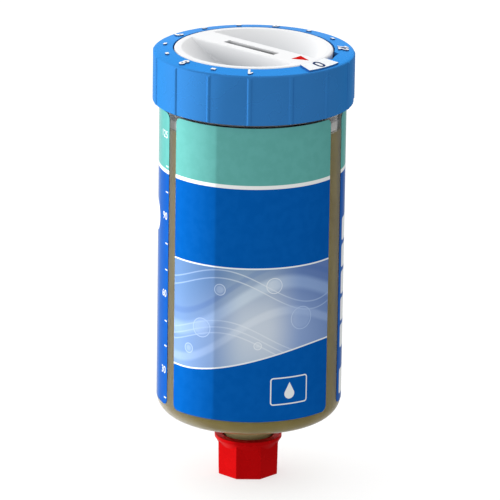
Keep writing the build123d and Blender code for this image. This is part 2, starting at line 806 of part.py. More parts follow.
with BuildPart() as dial_seal:
    with BuildSketch(Plane.XZ):
        with Locations((21.83, 113.72)):
            Circle(0.71)
    revolve(axis=Axis.Z)
dial_seal.part.label = "dial_seal"
export_step(dial_seal.part, "parts/dial_seal.step")

# sprung contact under the dial: a keyed disc with two arms whose tips run on the board
with BuildPart() as contact_wiper:
    with BuildSketch(bar_plane.offset(110.4)):
        Circle(3.3)
        Rectangle(17.6, 1.6)
        Circle(2.03, mode=Mode.SUBTRACT)
    extrude(amount=0.2)
    with BuildSketch(bar_plane.offset(110.15)):
        with Locations((-8.0, 0), (8.0, 0)):
            Rectangle(0.8, 1.2)
    extrude(amount=0.25)
contact_wiper.part.label = "contact_wiper"
export_step(contact_wiper.part, "parts/contact_wiper.step")
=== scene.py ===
from math import atan2, cos, degrees, pi, radians, sin, sqrt

import bmesh
import bpy
from mathutils import Matrix, Vector


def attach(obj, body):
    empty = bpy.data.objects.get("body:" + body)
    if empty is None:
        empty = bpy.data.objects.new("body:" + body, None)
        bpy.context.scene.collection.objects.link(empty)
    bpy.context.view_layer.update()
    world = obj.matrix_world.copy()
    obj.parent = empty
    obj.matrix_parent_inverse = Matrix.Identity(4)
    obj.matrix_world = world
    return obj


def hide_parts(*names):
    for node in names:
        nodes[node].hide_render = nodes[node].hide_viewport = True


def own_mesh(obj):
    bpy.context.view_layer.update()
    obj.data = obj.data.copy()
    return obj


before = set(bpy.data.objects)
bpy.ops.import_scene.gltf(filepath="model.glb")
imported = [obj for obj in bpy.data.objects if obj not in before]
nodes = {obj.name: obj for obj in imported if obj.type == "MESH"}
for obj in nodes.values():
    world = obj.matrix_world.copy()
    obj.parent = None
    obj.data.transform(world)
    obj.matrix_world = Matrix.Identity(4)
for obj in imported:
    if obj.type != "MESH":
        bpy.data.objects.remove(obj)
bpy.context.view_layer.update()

MM = 0.001
scene = bpy.context.scene


# ---------------------------------------------------------------- camera
theta, roll = radians(17.1992), radians(0.8412)
R = Vector((1, 0, 0))
U = Vector((0, sin(theta), cos(theta)))
F = Vector((0, cos(theta), -sin(theta)))
ax = cos(roll) * R + sin(roll) * U
ay = -sin(roll) * R + cos(roll) * U
az = -F
cam_data = bpy.data.cameras.new("camera")
cam_data.sensor_width = 36.0
cam_data.lens = 401.734
cam_data.clip_end = 200.0
cam = bpy.data.objects.new("camera", cam_data)
scene.collection.objects.link(cam)
turn = Matrix((ax, ay, az)).transposed().to_4x4()
cam.matrix_world = Matrix.Translation((-0.00022, -1.43219, 0.50592)) @ turn
scene.camera = cam
scene.view_settings.view_transform = "Standard"
scene.view_settings.look = "None"


# ---------------------------------------------------------------- node trees
class Tree:
    """A material's node tree with short names for the nodes used here."""

    def __init__(self, name, owner=None):
        if owner is None:
            owner = bpy.data.materials.new(name)
        self.mat = owner
        owner.use_nodes = True
        self.nt = owner.node_tree
        self.nt.nodes.clear()

    def new(self, kind, **props):
        n = self.nt.nodes.new("ShaderNode" + kind)
        for k, v in props.items():
            setattr(n, k, v)
        return n

    def put(self, socket, value):
        if isinstance(value, bpy.types.NodeSocket):
            self.nt.links.new(value, socket)
        elif hasattr(socket.default_value, "__len__") and not hasattr(value, "__len__"):
            socket.default_value = (value, value, value, 1.0)[: len(socket.default_value)]
        elif hasattr(value, "__len__") and len(value) == 3 and len(socket.default_value) == 4:
            socket.default_value = (*value, 1.0)
        else:
            socket.default_value = value

    def math(self, op, *args, clamp=False):
        n = self.new("Math", operation=op, use_clamp=clamp)
        for i, a in enumerate(args):
            self.put(n.inputs[i], a)
        return n.outputs[0]

    def step(self, x, lo, hi, a=0.0, b=1.0, smooth=True):
        """a below lo, b above hi, with a smooth or straight run between."""
        n = self.new("MapRange", interpolation_type="SMOOTHSTEP" if smooth else "LINEAR", clamp=True)
        for i, v in enumerate((x, lo, hi, a, b)):
            self.put(n.inputs[i], v)
        return n.outputs[0]

    def mix(self, f, a, b, kind="MIX"):
        n = self.new("Mix", data_type="RGBA", blend_type=kind)
        self.put(n.inputs[0], f)
        self.put(n.inputs[6], a)
        self.put(n.inputs[7], b)
        return n.outputs[2]

    def coords(self):
        return self.new("TexCoord").outputs["Object"]

    def split(self, v):
        n = self.new("SeparateXYZ")
        self.put(n.inputs[0], v)
        return n.outputs

    def noise(self, v, scale, detail=2.0, rough=0.5):
        n = self.new("TexNoise")
        self.put(n.inputs["Vector"], v)
        n.inputs["Scale"].default_value = scale
        n.inputs["Detail"].default_value = detail
        n.inputs["Roughness"].default_value = rough
        return n.outputs[0]

    def bump(self, height, distance, strength=1.0, normal=None):
        n = self.new("Bump")
        n.inputs["Strength"].default_value = strength
        n.inputs["Distance"].default_value = distance
        self.put(n.inputs["Height"], height)
        if normal is not None:
            self.put(n.inputs["Normal"], normal)
        return n.outputs[0]

    def principled(self, **values):
        n = self.new("BsdfPrincipled")
        for k, v in values.items():
            self.put(n.inputs[k.replace("_", " ")], v)
        return n

    def finish(self, shader):
        out = self.new("OutputMaterial")
        self.nt.links.new(shader, out.inputs["Surface"])
        return self.mat


def edge_tint(c):
    """Tint that keeps a coloured reflection from going white towards the silhouette."""
    return c / (0.473 + 0.527 * c)


def moulded(name, colour, rough=0.35, metal=0.0, spec=0.5, vary=0.05, grain=0.25, depth=0.0015, cloud=14.0, ior_coat=0.0, worn=0.0, tint=None):
    """Moulded or metal surface: fine grain in the bump, soft clouds in colour and roughness. Sizes in millimetres.
    A polished moulding has depth 0 and keeps the grain in its roughness alone."""
    t = Tree(name)
    v = t.coords()
    fine = t.noise(v, 1000.0 / grain, 3.0, 0.6)
    soft = t.noise(v, 1000.0 / cloud, 3.0, 0.55)
    mid = t.noise(v, 1000.0 / (grain * 9), 2.0, 0.5)
    dark = tuple(c * (1 - vary) for c in colour)
    light = tuple(min(1.0, c * (1 + vary) + worn) for c in colour)
    shade = t.mix(t.step(soft, 0.32, 0.68), dark, light)
    gloss = t.math("ADD", t.step(soft, 0.3, 0.7, rough * 0.92, rough * 1.06), t.step(mid, 0.3, 0.7, -0.02, 0.02))
    p = t.principled(Base_Color=shade, Metallic=metal, Roughness=gloss, Specular_IOR_Level=spec)
    if depth:
        t.put(p.inputs["Normal"], t.bump(t.math("ADD", fine, t.math("MULTIPLY", mid, 0.6)), depth * MM))
    if metal:
        p.inputs["Specular Tint"].default_value = (*(tint or [edge_tint(c) for c in colour]), 1.0)
    if ior_coat:
        p.inputs["Coat Weight"].default_value = ior_coat
        p.inputs["Coat Roughness"].default_value = 0.12
    return t.finish(p.outputs[0])


def brushed(name, colour, rough=0.3, angle=0.0, metal=1.0):
    """Rolled or turned metal: fine lines one way, light stains."""
    t = Tree(name)
    v = t.coords()
    m = t.new("Mapping")
    t.put(m.inputs["Vector"], v)
    m.inputs["Rotation"].default_value = (0, 0, angle)
    m.inputs["Scale"].default_value = (1.0, 26.0, 6.0)
    lines = t.noise(m.outputs[0], 260.0, 4.0, 0.65)
    stain = t.noise(v, 240.0, 3.0, 0.5)
    shade = t.mix(t.step(stain, 0.35, 0.7), tuple(c * 0.84 for c in colour), colour)
    gloss = t.math("ADD", t.step(lines, 0.3, 0.7, rough * 0.75, rough * 1.25), t.step(stain, 0.4, 0.7, 0.05, 0.0))
    normal = t.bump(lines, 0.002 * MM)
    return t.finish(t.principled(Base_Color=shade, Metallic=metal, Roughness=gloss, Normal=normal).outputs[0])


def paint(node, material):
    me = nodes[node].data
    me.materials.clear()
    me.materials.append(material)


# ---------------------------------------------------------------- finishes of the carried-over nodes
BLUE = (0.036, 0.200, 0.530)
WHITE = (0.86, 0.865, 0.875)

ring_blue = moulded("ring_blue", BLUE, rough=0.27, metal=0.42, spec=0.0, vary=0.02, grain=0.7, depth=0.0, cloud=11.0, tint=(0.42, 0.70, 1.0))
print_navy = moulded("print_navy", (0.006, 0.030, 0.12), rough=0.40, spec=0.0, vary=0.10, grain=0.12, depth=0.0012, cloud=0.9)
arrow_red = moulded("arrow_red", (0.60, 0.012, 0.010), rough=0.38, spec=0.0, vary=0.08, grain=0.12, depth=0.0012, cloud=1.2)
plug_red = moulded("plug_red", (0.50, 0.003, 0.004), rough=0.27, metal=0.40, spec=0.035, vary=0.04, grain=0.6, depth=0.0, cloud=5.0)
housing_grey = moulded("housing_grey", (0.22, 0.225, 0.23), rough=0.45, vary=0.05, grain=0.3, depth=0.003, cloud=6.0)
piston_grey = moulded("piston_grey", (0.27, 0.255, 0.255), rough=0.38, vary=0.07, grain=0.35, depth=0.003, cloud=5.0)
rubber = moulded("seal_rubber", (0.022, 0.022, 0.024), rough=0.55, spec=0.4, vary=0.2, grain=0.15, depth=0.004, cloud=3.0)
membrane = moulded("membrane_white", (0.80, 0.80, 0.77), rough=0.75, vary=0.04, grain=0.08, depth=0.006, cloud=1.2)
resistor = moulded("resistor_black", (0.03, 0.03, 0.035), rough=0.5, vary=0.15, grain=0.1, depth=0.002, cloud=1.0)
steel = brushed("screw_steel", (0.62, 0.63, 0.64), 0.32)
can = brushed("cell_steel", (0.66, 0.66, 0.67), 0.24, 0.6)
brass = brushed("contact_brass", (0.78, 0.58, 0.27), 0.28)


def dial_finish():
    """White moulding, with painted shade that greys it down in the bowl and a painted shadow inside the coin slot,
    darkest at its far end.
    """
    t = Tree("dial_white")
    v = t.coords()
    x, y, z = (t.math("MULTIPLY", c, 1000.0) for c in t.split(v))
    fine = t.noise(v, 2200.0, 3.0, 0.6)
    soft = t.noise(v, 62.0, 3.0, 0.55)
    ux, uy = sin(radians(47)), -cos(radians(47))
    along = t.math("ADD", t.math("MULTIPLY", x, ux), t.math("MULTIPLY", y, uy))
    across = t.math("SUBTRACT", t.math("MULTIPLY", y, ux), t.math("MULTIPLY", x, uy))
    shade = t.mix(t.step(soft, 0.32, 0.68), tuple(c * 0.99 for c in WHITE), WHITE)
    # painted shade: below the rim the white goes grey down in the bowl, standing in for the shade of the recess
    shade = t.mix(t.step(z, 113.0, 118.7, 1.0, 0.0, smooth=False), shade, (0.53, 0.545, 0.565))
    # painted shadow: inside the coin slot the white turns dark grey at the near end and near black at the far end
    in_slot = t.math("MULTIPLY", t.step(t.math("ABSOLUTE", t.math("ADD", across, 0.5)), 1.29, 1.35, 1.0, 0.0), t.step(t.math("ABSOLUTE", t.math("ADD", along, 0.4)), 9.14, 9.20, 1.0, 0.0))
    in_slot = t.math("MULTIPLY", in_slot, t.step(z, 117.9, 118.9, 1.0, 0.0))
    slot_painted_shadow = t.mix(t.step(along, -9.5, 4.0), (0.36, 0.37, 0.39), (0.055, 0.058, 0.065))
    shade = t.mix(in_slot, shade, slot_painted_shadow)
    normal = t.bump(t.math("ADD", fine, t.math("MULTIPLY", soft, 0.6)), 0.0012 * MM)
    return t.finish(t.principled(Base_Color=shade, Roughness=t.step(soft, 0.3, 0.7, 0.36, 0.42), Specular_IOR_Level=0.0, Normal=normal).outputs[0])


def raised_print():
    """Hot-stamped white on the tops of raised figures; their flanks are a deep blue, the moulding's blue darkened as
    painted shade.
    """
    t = Tree("print_white")
    v = t.coords()
    up = t.split(t.new("TexCoord").outputs["Normal"])[2]
    fine = t.noise(v, 8000.0, 3.0, 0.6)
    soft = t.noise(v, 700.0, 3.0, 0.55)
    white = t.mix(t.step(soft, 0.3, 0.7), (0.88, 0.91, 0.93), (0.93, 0.96, 0.98))
    # the white on the tops is real print; the darker blue on the flanks is painted shade
    shade = t.mix(t.step(up, 0.55, 0.75), (0.016, 0.095, 0.30), white)
    return t.finish(t.principled(Base_Color=shade, Roughness=t.step(soft, 0.3, 0.7, 0.40, 0.46), Specular_IOR_Level=0.0, Normal=t.bump(fine, 0.0015 * MM)).outputs[0])


dial_white = dial_finish()
print_white = raised_print()


def board_finish():
    """Solder-masked board: dark green, with paler copper tracks in rings and a woven ground."""
    t = Tree("board_green")
    v = t.coords()
    x, y, z = t.split(v)
    r = t.math("SQRT", t.math("ADD", t.math("MULTIPLY", x, x), t.math("MULTIPLY", y, y)))
    rr = t.math("MULTIPLY", r, 1000.0)
    ring = t.math("PINGPONG", t.math("ADD", rr, 0.4), 1.1)
    track = t.step(ring, 0.78, 0.86)
    on = t.math("MULTIPLY", track, t.step(rr, 8.0, 8.1))
    weave = t.math("MULTIPLY", t.math("SINE", t.math("MULTIPLY", x, 9000.0)), t.math("SINE", t.math("MULTIPLY", y, 9000.0)))
    ground = t.mix(t.step(weave, -0.6, 0.6), (0.010, 0.085, 0.035), (0.014, 0.105, 0.045))
    shade = t.mix(on, ground, (0.035, 0.22, 0.075))
    cloud = t.noise(v, 260.0, 2.0)
    normal = t.bump(t.math("ADD", t.math("MULTIPLY", on, 1.0), t.math("MULTIPLY", weave, 0.12)), 0.02 * MM)
    return t.finish(t.principled(Base_Color=shade, Roughness=t.step(cloud, 0.3, 0.7, 0.26, 0.38), Normal=normal).outputs[0])


for name, mat in {
    "grip_ring": ring_blue,
    "ring_marks": print_white,
    "zero_field": print_white,
    "zero_figure": print_navy,
    "selector_dial": dial_white,
    "dial_arrow": arrow_red,
    "dial_seal": rubber,
    "contact_wiper": brass,
    "drive_housing": housing_grey,
    "housing_seal": rubber,
    "membrane_ring": housing_grey,
    "gas_membrane": membrane,
    "circuit_board": board_finish(),
    "timing_resistors": resistor,
    "board_screws": steel,
    "gas_cells": can,
    "cell_springs": brass,
    "cell_base_strips": brass,
    "piston": piston_grey,
    "piston_seal": rubber,
    "transport_plug": plug_red,
    "plug_seal": rubber,
}.items():
    paint(name, mat)


# ---------------------------------------------------------------- meshes
def mesh_object(name, bm, material, angle=32.0):
    bmesh.ops.recalc_face_normals(bm, faces=bm.faces)
    me = bpy.data.meshes.new(name)
    bm.to_mesh(me)
    bm.free()
    me.polygons.foreach_set("use_smooth", [True] * len(me.polygons))
    me.set_sharp_from_angle(angle=radians(angle))
    me.materials.append(material)
    ob = bpy.data.objects.new(name, me)
    scene.collection.objects.link(ob)
    return ob


def lathe(name, section, material, seg=256, swell=None, angle=32.0):
    """Closed solid of revolution about Z. section: (r, z) in mm, a closed loop or a chain that starts and ends on the axis.
    swell(i, phi) gives the radius of section point i at an angle where the surface isn't round."""
    bm = bmesh.new()
    rings = []
    for i, (r, z) in enumerate(section):
        if r < 1e-6:
            rings.append([bm.verts.new((0, 0, z * MM))])
            continue
        ring = []
        for k in range(seg):
            phi = 2 * pi * k / seg
            rr = swell(i, phi, r, z) if swell else r
            ring.append(bm.verts.new((rr * sin(phi) * MM, -rr * cos(phi) * MM, z * MM)))
        rings.append(ring)
    count = len(section)
    pairs = [(i, (i + 1) % count) for i in range(count)]
    for i, j in pairs:
        a, b = rings[i], rings[j]
        if len(a) == 1 and len(b) == 1:
            continue
        for k in range(seg):
            n = (k + 1) % seg
            if len(a) == 1:
                bm.faces.new((a[0], b[n], b[k]))
            elif len(b) == 1:
                bm.faces.new((a[k], a[n], b[0]))
            else:
                bm.faces.new((a[k], a[n], b[n], b[k]))
    return mesh_object(name, bm, material, angle)


def arc(cx, cz, a, b, start, end, steps):
    """Points on an ellipse from one angle to another, both included."""
    return [(cx + a * cos(radians(start + (end - start) * k / steps)), cz + b * sin(radians(start + (end - start) * k / steps))) for k in range(steps + 1)]


# ---------------------------------------------------------------- clear container
def clear_finish():
    t = Tree("clear_plastic")
    v = t.coords()
    wave = t.noise(v, 55.0, 2.0, 0.5)
    fine = t.noise(v, 900.0, 3.0, 0.5)
    normal = t.bump(t.math("ADD", wave, t.math("MULTIPLY", fine, 0.02)), 0.02 * MM)
    p = t.principled(
        Base_Color=t.mix(t.step(wave, 0.3, 0.7), (0.95, 0.955, 0.94), (0.975, 0.975, 0.965)),
        Roughness=t.step(fine, 0.3, 0.7, 0.03, 0.06),
        Normal=normal,
        Transmission_Weight=1.0,
        IOR=1.40,
        Specular_Tint=(0.2, 0.2, 0.2),
    )
    clear = t.new("BsdfTransparent")
    clear.inputs[0].default_value = (0.95, 0.95, 0.93, 1)
    path = t.new("LightPath")
    m = t.new("MixShader")
    t.put(m.inputs[0], path.outputs["Is Shadow Ray"])
    t.nt.links.new(p.outputs[0], m.inputs[1])
    t.nt.links.new(clear.outputs[0], m.inputs[2])
    return t.finish(m.outputs[0])


PITCH, MAJOR, DEPTH = 1.337, 6.58, 0.82


def thread_radius(phi, z):
    """R 1/4 taper thread, right-handed, 55 degree form with rounded crests and roots."""
    major = MAJOR - (11.05 - z) / 32.0
    t = ((z / PITCH) - phi / (2 * pi)) % 1.0
    w = abs(2 * t - 1)
    w = min(1.0, max(0.0, (w - 0.12) / 0.76))
    w = w * w * (3 - 2 * w) * 0.35 + w * 0.65
    fade = min(1.0, max(0.0, (z - 2.1) / 0.7)) * min(1.0, max(0.0, (10.6 - z) / 1.0))
    return major - DEPTH * (1 - w) * fade


# the well that leads the grease down through the collar to the outlet
WELL = [(10.0, 18.11), (6.5, 18.1), (5.9, 17.95), (5.5, 17.6), (5.35, 17.1), (5.3, 16.0), (5.3, 12.0), (5.1, 11.3), (4.6, 10.4), (3.7, 9.3), (3.15, 8.6), (3.0, 8.0)]


def container_section():
    pts, flag = [], []

    def add(r, z, f=False):
        pts.append((r, z))
        flag.append(f)

    add(3.0, 2.05)
    add(3.2, 1.8)
    add(5.75, 1.8)
    add(6.0, 1.95)
    add(6.25, 2.3)
    z = 2.4
    while z < 10.7:
        add(MAJOR, z, True)
        z += 0.095
    add(6.57, 10.75)
    add(6.57, 11.0)
    add(6.7, 11.12)
    add(6.78, 11.22)
    add(6.8, 11.4)
    for r, z in arc(7.3, 16.6, 0.5, 0.5, 180, 90, 5):
        add(r, z)
    add(11.0, 17.1)
    add(11.12, 17.12)
    add(11.35, 17.22)
    add(11.6, 17.24)
    add(11.8, 17.12)
    add(12.0, 17.1)
    for r, z in arc(18.84, 22.41, 6.06, 5.31, 270, 360, 26):
        add(r, z)
    for zz in (40, 60, 80, 95, 103.8):
        add(24.9, zz)
    add(25.05, 108.35)
    add(25.15, 108.5)
    add(25.5, 108.8)
    add(25.6, 108.95)
    add(25.6, 109.8)
    add(25.4, 110.0)
    add(23.8, 110.0)
    add(23.3, 109.2)
    for zz in (95, 80, 60, 40):
        add(23.3, zz)
    add(23.32, 30.0)
    add(23.45, 26.0)
    for r, z in arc(18.84, 22.41, 4.91, 4.3, 360, 270, 22):
        add(r, z)
    for r, z in WELL:
        add(r, z)
    return pts, flag


section, threaded = container_section()


def swell(i, phi, r, z):
    return thread_radius(phi, z) if threaded[i] else r


body = lathe("clear_body", section, clear_finish(), seg=240, swell=swell)
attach(body, "root")
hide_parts("container")


# ---------------------------------------------------------------- grease
def grease_finish():
    t = Tree("grease")
    v = t.coords()
    m = t.new("Mapping")
    t.put(m.inputs["Vector"], v)
    m.inputs["Scale"].default_value = (1.0, 1.0, 0.45)
    streak = t.noise(m.outputs[0], 190.0, 4.0, 0.6)
    soft = t.noise(v, 60.0, 2.0, 0.5)
    fine = t.noise(v, 1600.0, 3.0, 0.6)
    a = t.mix(t.step(streak, 0.3, 0.72), (0.205, 0.155, 0.042), (0.265, 0.210, 0.068))
    shade = t.mix(t.step(soft, 0.35, 0.7, 0.0, 0.5), a, (0.215, 0.18, 0.052))
    shade = t.mix(t.step(t.split(v)[2], 17.2 * MM, 18.0 * MM, 1.0, 0.0), shade, (0.66, 0.55, 0.28))  # thinner in the well, so paler
    normal = t.bump(t.math("ADD", streak, t.math("MULTIPLY", fine, 0.15)), 0.03 * MM)
    p = t.principled(Base_Color=shade, Roughness=t.step(streak, 0.3, 0.7, 0.32, 0.46), Specular_IOR_Level=0.15, Normal=normal)
    return t.finish(p.outputs[0])


grease = grease_finish()
FILL_R = 23.33
low_part = [(0, 2.1), (2.6, 2.1), (2.95, 2.4)] + [(r + 0.03, z - 0.02) for r, z in reversed(WELL)]
low_part += arc(18.84, 22.41, 4.94, 4.32, 270, 360, 22)[1:]
low_part += [(23.68, 23.5), (0, 23.5)]
grease_low = lathe("grease_base", low_part, grease, seg=224)
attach(grease_low, "root")
high_part = [(0, 23.5), (23.68, 23.5), (23.48, 26.0), (23.35, 30.0), (FILL_R, 45), (FILL_R, 65), (FILL_R, 85), (FILL_R, 98.88), (23.2, 98.95), (22.6, 98.95), (19.5, 99.55), (14.0, 100.55), (0, 100.55)]
grease_high = lathe("grease_column", high_part, grease, seg=224)
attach(grease_high, "root")
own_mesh(grease_high)
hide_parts("grease_charge")
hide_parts("grease_charge")


# ---------------------------------------------------------------- printed films
def film_finish():
    """Printed film: bands of colour by height, a soft picture panel on the front, blank white fields on the back."""
    t = Tree("label_film")
    v = t.coords()
    x, y, z = t.split(v)
    zz = t.math("MULTIPLY", z, 1000.0)
    phi = t.math("MULTIPLY", t.math("ARCTAN2", x, t.math("MULTIPLY", y, -1.0)), 180.0 / pi)
    s = t.math("MULTIPLY", phi, 25.0 * pi / 180.0)  # millimetres along the wrap from the middle of the front

    def sub(a, b):
        return t.math("SUBTRACT", a, b)

    def mul(a, b):
        return t.math("MULTIPLY", a, b)

    def plus(a, b):
        return t.math("ADD", a, b)

    def box(cs, cz, hs, hz, rc):
        """Distance outside a box with round corners."""
        dx = t.math("MAXIMUM", sub(t.math("ABSOLUTE", sub(s, cs)), hs - rc), 0.0)
        dz = t.math("MAXIMUM", sub(t.math("ABSOLUTE", sub(zz, cz)), hz - rc), 0.0)
        return sub(t.math("SQRT", plus(mul(dx, dx), mul(dz, dz))), rc)

    def disc(cs, cz, r):
        dx, dz = sub(s, cs), sub(zz, cz)
        return sub(t.math("SQRT", plus(mul(dx, dx), mul(dz, dz))), r)

    def inside(d, soft=0.03):
        return t.step(d, -soft, soft, 1.0, 0.0)

    def rim(d, half, soft=0.03):
        return inside(sub(t.math("ABSOLUTE", d), half), soft)

    ink = t.noise(v, 420.0, 2.0)
    teal = t.mix(t.step(ink, 0.35, 0.65), (0.124, 0.418, 0.385), (0.134, 0.440, 0.408))
    blue = t.mix(t.step(ink, 0.35, 0.65), (0.0012, 0.101, 0.425), (0.0022, 0.109, 0.445))
    paper = (0.93, 0.95, 0.94)
    col = t.mix(t.step(zz, 86.88, 86.94), blue, paper)
    col = t.mix(t.step(zz, 87.90, 87.96), col, teal)

    # picture panel: pale field with wave ribbons, thin contour lines and soft drops
    front = mul(t.step(phi, -60.0, -59.9), t.step(phi, 60.0, 60.1, 1.0, 0.0))
    low_edge = plus(t.step(s, -21.0, 22.0, 0.0, 7.6), 35.4)
    above = sub(zz, low_edge)
    panel = mul(front, mul(t.step(above, -0.03, 0.03), t.step(zz, 64.97, 65.03, 1.0, 0.0)))
    gx = mul(s, 1 / 21.0)
    gz = mul(sub(zz, 50.0), 1 / 15.0)
    ground = t.mix(t.step(gx, -1.1, 1.1), (0.275, 0.415, 0.560), (0.250, 0.350, 0.560))
    ground = t.mix(t.step(gz, -0.9, 1.0, 0.55, 0.0), ground, (0.53, 0.65, 0.80))
    d0 = t.math("SQRT", plus(mul(sub(gx, 0.20), sub(gx, 0.20)), mul(plus(gz, 0.1), plus(gz, 0.1))))
    ground = t.mix(t.step(d0, 0.0, 1.25, 0.8, 0.0), ground, (0.72, 0.79, 0.88))
    wave = plus(mul(t.math("SINE", plus(mul(s, 0.115), 0.7)), 5.2), mul(s, 0.16))
    for off, half, amount, colour in ((54.5, 2.3, 0.55, (0.72, 0.84, 0.95)), (46.5, 1.5, 0.45, (0.80, 0.88, 0.96)), (59.5, 1.1, 0.35, (0.16, 0.27, 0.52))):
        d = t.math("ABSOLUTE", sub(sub(zz, off), wave))
        ground = t.mix(t.step(d, half * 0.35, half * 1.15, amount, 0.0), ground, colour)
    wave2 = plus(mul(t.math("SINE", plus(mul(s, 0.135), 2.4)), 3.6), mul(s, -0.10))
    for off in (42.5, 44.1, 45.9, 57.8, 60.0):
        d = t.math("ABSOLUTE", sub(sub(zz, off), wave2))
        ground = t.mix(t.step(d, 0.08, 0.26, 0.55, 0.0), ground, (0.86, 0.93, 0.98))
    for cs, cz, r, a in ((-13.5, 47.5, 2.6, 0.35), (-8.2, 58.8, 1.5, 0.45), (6.5, 60.2, 2.1, 0.3), (14.5, 50.5, 3.1, 0.28), (-17.6, 41.0, 1.3, 0.5), (2.2, 43.6, 1.0, 0.5)):
        d = disc(cs, cz, r)
        ground = t.mix(t.step(d, -0.9, 0.1, a, 0.0), ground, (0.85, 0.92, 0.98))
        ground = t.mix(rim(d, 0.10, 0.08), ground, (0.88, 0.94, 0.99))
    ground = t.mix(t.step(t.math("ABSOLUTE", sub(gx, 0.08)), 0.12, 0.64, 0.0, 1.0), ground, (0.51, 0.63, 0.885), "MULTIPLY")
    col = t.mix(panel, col, ground)
    line = t.math("MAXIMUM", inside(sub(t.math("ABSOLUTE", above), 0.20)), inside(sub(t.math("ABSOLUTE", sub(zz, 65.0)), 0.20)))
    col = t.mix(mul(front, line), col, (0.90, 0.94, 0.97))

    # plain framed drop sign, low on the right of the front
    sign = box(11.2, 30.6, 5.3, 3.7, 0.7)
    marks = rim(sign, 0.17)
    drop = disc(11.2, 29.75, 1.45)
    up = sub(zz, 30.2)
    taper = sub(t.math("ABSOLUTE", sub(s, 11.2)), mul(sub(2.75, up), 0.50))
    cap = t.math("MAXIMUM", taper, t.math("MAXIMUM", mul(up, -1.0), sub(up, 2.7)))
    marks = t.math("MAXIMUM", marks, inside(t.math("MINIMUM", drop, cap), 0.04))
    marks = mul(front, marks)

    # blank white fields and a round field on the wrap's back part
    back = None
    for k in range(5):
        d = inside(box(41.4, 70.7 - 7.55 * k, 8.3, 3.2, 0.8))
        back = d if back is None else t.math("MAXIMUM", back, d)
    back = t.math("MAXIMUM", back, inside(box(41.4, 27.7, 8.3, 3.5, 0.8)))
    back = t.math("MAXIMUM", back, inside(disc(-38.0, 73.2, 4.55)))
    back = t.math("MAXIMUM", back, rim(box(-61.5, 55.0, 11.5, 22.0, 1.2), 0.16))
    for k in range(5):
        back = t.math("MAXIMUM", back, inside(box(-61.5, 69.6 - 7.3 * k, 9.6, 0.10, 0.05)))
    marks = t.math("MAXIMUM", marks, back)
    col = t.mix(marks, col, (0.90, 0.93, 0.94))

    fine = t.noise(v, 2600.0, 3.0, 0.6)
    wrinkle = t.noise(v, 38.0, 2.0, 0.5)
    rough = plus(t.step(fine, 0.3, 0.7, 0.060, 0.085), mul(marks, 0.03))
    normal = t.bump(plus(mul(fine, 0.01), wrinkle), 0.006 * MM)
    p = t.principled(Base_Color=col, Metallic=0.45, Roughness=rough, Specular_IOR_Level=0.012, Normal=normal)
    low = t.new("VectorMath", operation="MULTIPLY_ADD")
    t.put(low.inputs[0], col)
    low.inputs[1].default_value = (0.527,) * 3
    low.inputs[2].default_value = (0.473,) * 3
    tint = t.new("VectorMath", operation="DIVIDE")
    t.put(tint.inputs[0], col)
    t.put(tint.inputs[1], low.outputs[0])
    t.put(p.inputs["Specular Tint"], t.mix(0.30, tint.outputs[0], (1.0, 1.0, 1.0)))
    return t.finish(p.outputs[0])


film = film_finish()


def wrap(name, start, end, low, high, corner, seg_deg=0.75):
    """Thin film on the wall from one bearing to another, with round corners."""
    r_out, r_in = 25.0, 24.91
    cols = []
    steps = 12
    for k in range(steps):
        a = radians(90 * k / steps)
        d = corner * (1 - cos(a))
        cols.append((start + degrees(d / r_out), corner - corner * sin(a)))
    n = max(2, int((end - start) / seg_deg))
    c = degrees(corner / r_out)
    for k in range(n + 1):
        cols.append((start + c + (end - start - 2 * c) * k / n, 0.0))
    for k in reversed(range(steps)):
        a = radians(90 * k / steps)
        d = corner * (1 - cos(a))
        cols.append((end - degrees(d / r_out), corner - corner * sin(a)))
    bm = bmesh.new()
    rows = []
    for phi, cut in cols:
        p = radians(phi)
        loop = []
        for r, z in ((r_out, low + cut), (r_out, (low + high) / 2), (r_out, high - cut), (r_in, high - cut), (r_in, (low + high) / 2), (r_in, low + cut)):
            loop.append(bm.verts.new((r * sin(p) * MM, -r * cos(p) * MM, z * MM)))
        rows.append(loop)
    for a, b in zip(rows, rows[1:]):
        for k in range(6):
            m = (k + 1) % 6
            bm.faces.new((a[k], a[m], b[m], b[k]))
    bm.faces.new(rows[0])
    bm.faces.new(rows[-1])
    return mesh_object(name, bm, film, 40.0)


for name, (start, end) in {"front_label": (-53.8, 55.9), "rear_label": (71.0, 298.3)}.items():
    piece = wrap(name + "_film", start, end, 22.25, 103.6, 1.7)
    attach(piece, "root")
    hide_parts(name)
    piece.visible_shadow = False
    piece.visible_diffuse = False


# ---------------------------------------------------------------- level scale beside the clear strip: ticks and plain numbers
def on_wall(bm, phi0, z0, r0):
    """Bend a flat mesh (x along the wrap, y up, z outwards, in mm) onto the wall."""
    for vert in bm.verts:
        u, w, h = vert.co
        p = radians(phi0) + u / 25.0
        r = r0 + h
        vert.co = (r * sin(p) * MM, -r * cos(p) * MM, (z0 + w) * MM)


def slab(bm, x0, y0, x1, y1, h, parts=4):
    """Closed thin plate, divided along x."""
    verts = []
    for k in range(parts + 1):
        x = x0 + (x1 - x0) * k / parts
        verts.append([bm.verts.new(c) for c in ((x, y0, 0), (x, y1, 0), (x, y1, h), (x, y0, h))])
    for a, b in zip(verts, verts[1:]):
        for k in range(4):
            m = (k + 1) % 4
            bm.faces.new((a[k], b[k], b[m], a[m]))
    bm.faces.new(verts[0])
    bm.faces.new(reversed(verts[-1]))


scale_print = bmesh.new()
EDGE = 298.3
for z in (88.85, 81.74, 67.45, 60.15, 45.8, 38.8, 24.2):
    part = bmesh.new()
    slab(part, -1.7, -0.16, -0.35, 0.16, 0.03)
    on_wall(part, EDGE, z, 25.0)
    me = bpy.data.meshes.new("tick")
    part.to_mesh(me)
    part.free()
    scale_print.from_mesh(me)
    bpy.data.meshes.remove(me)


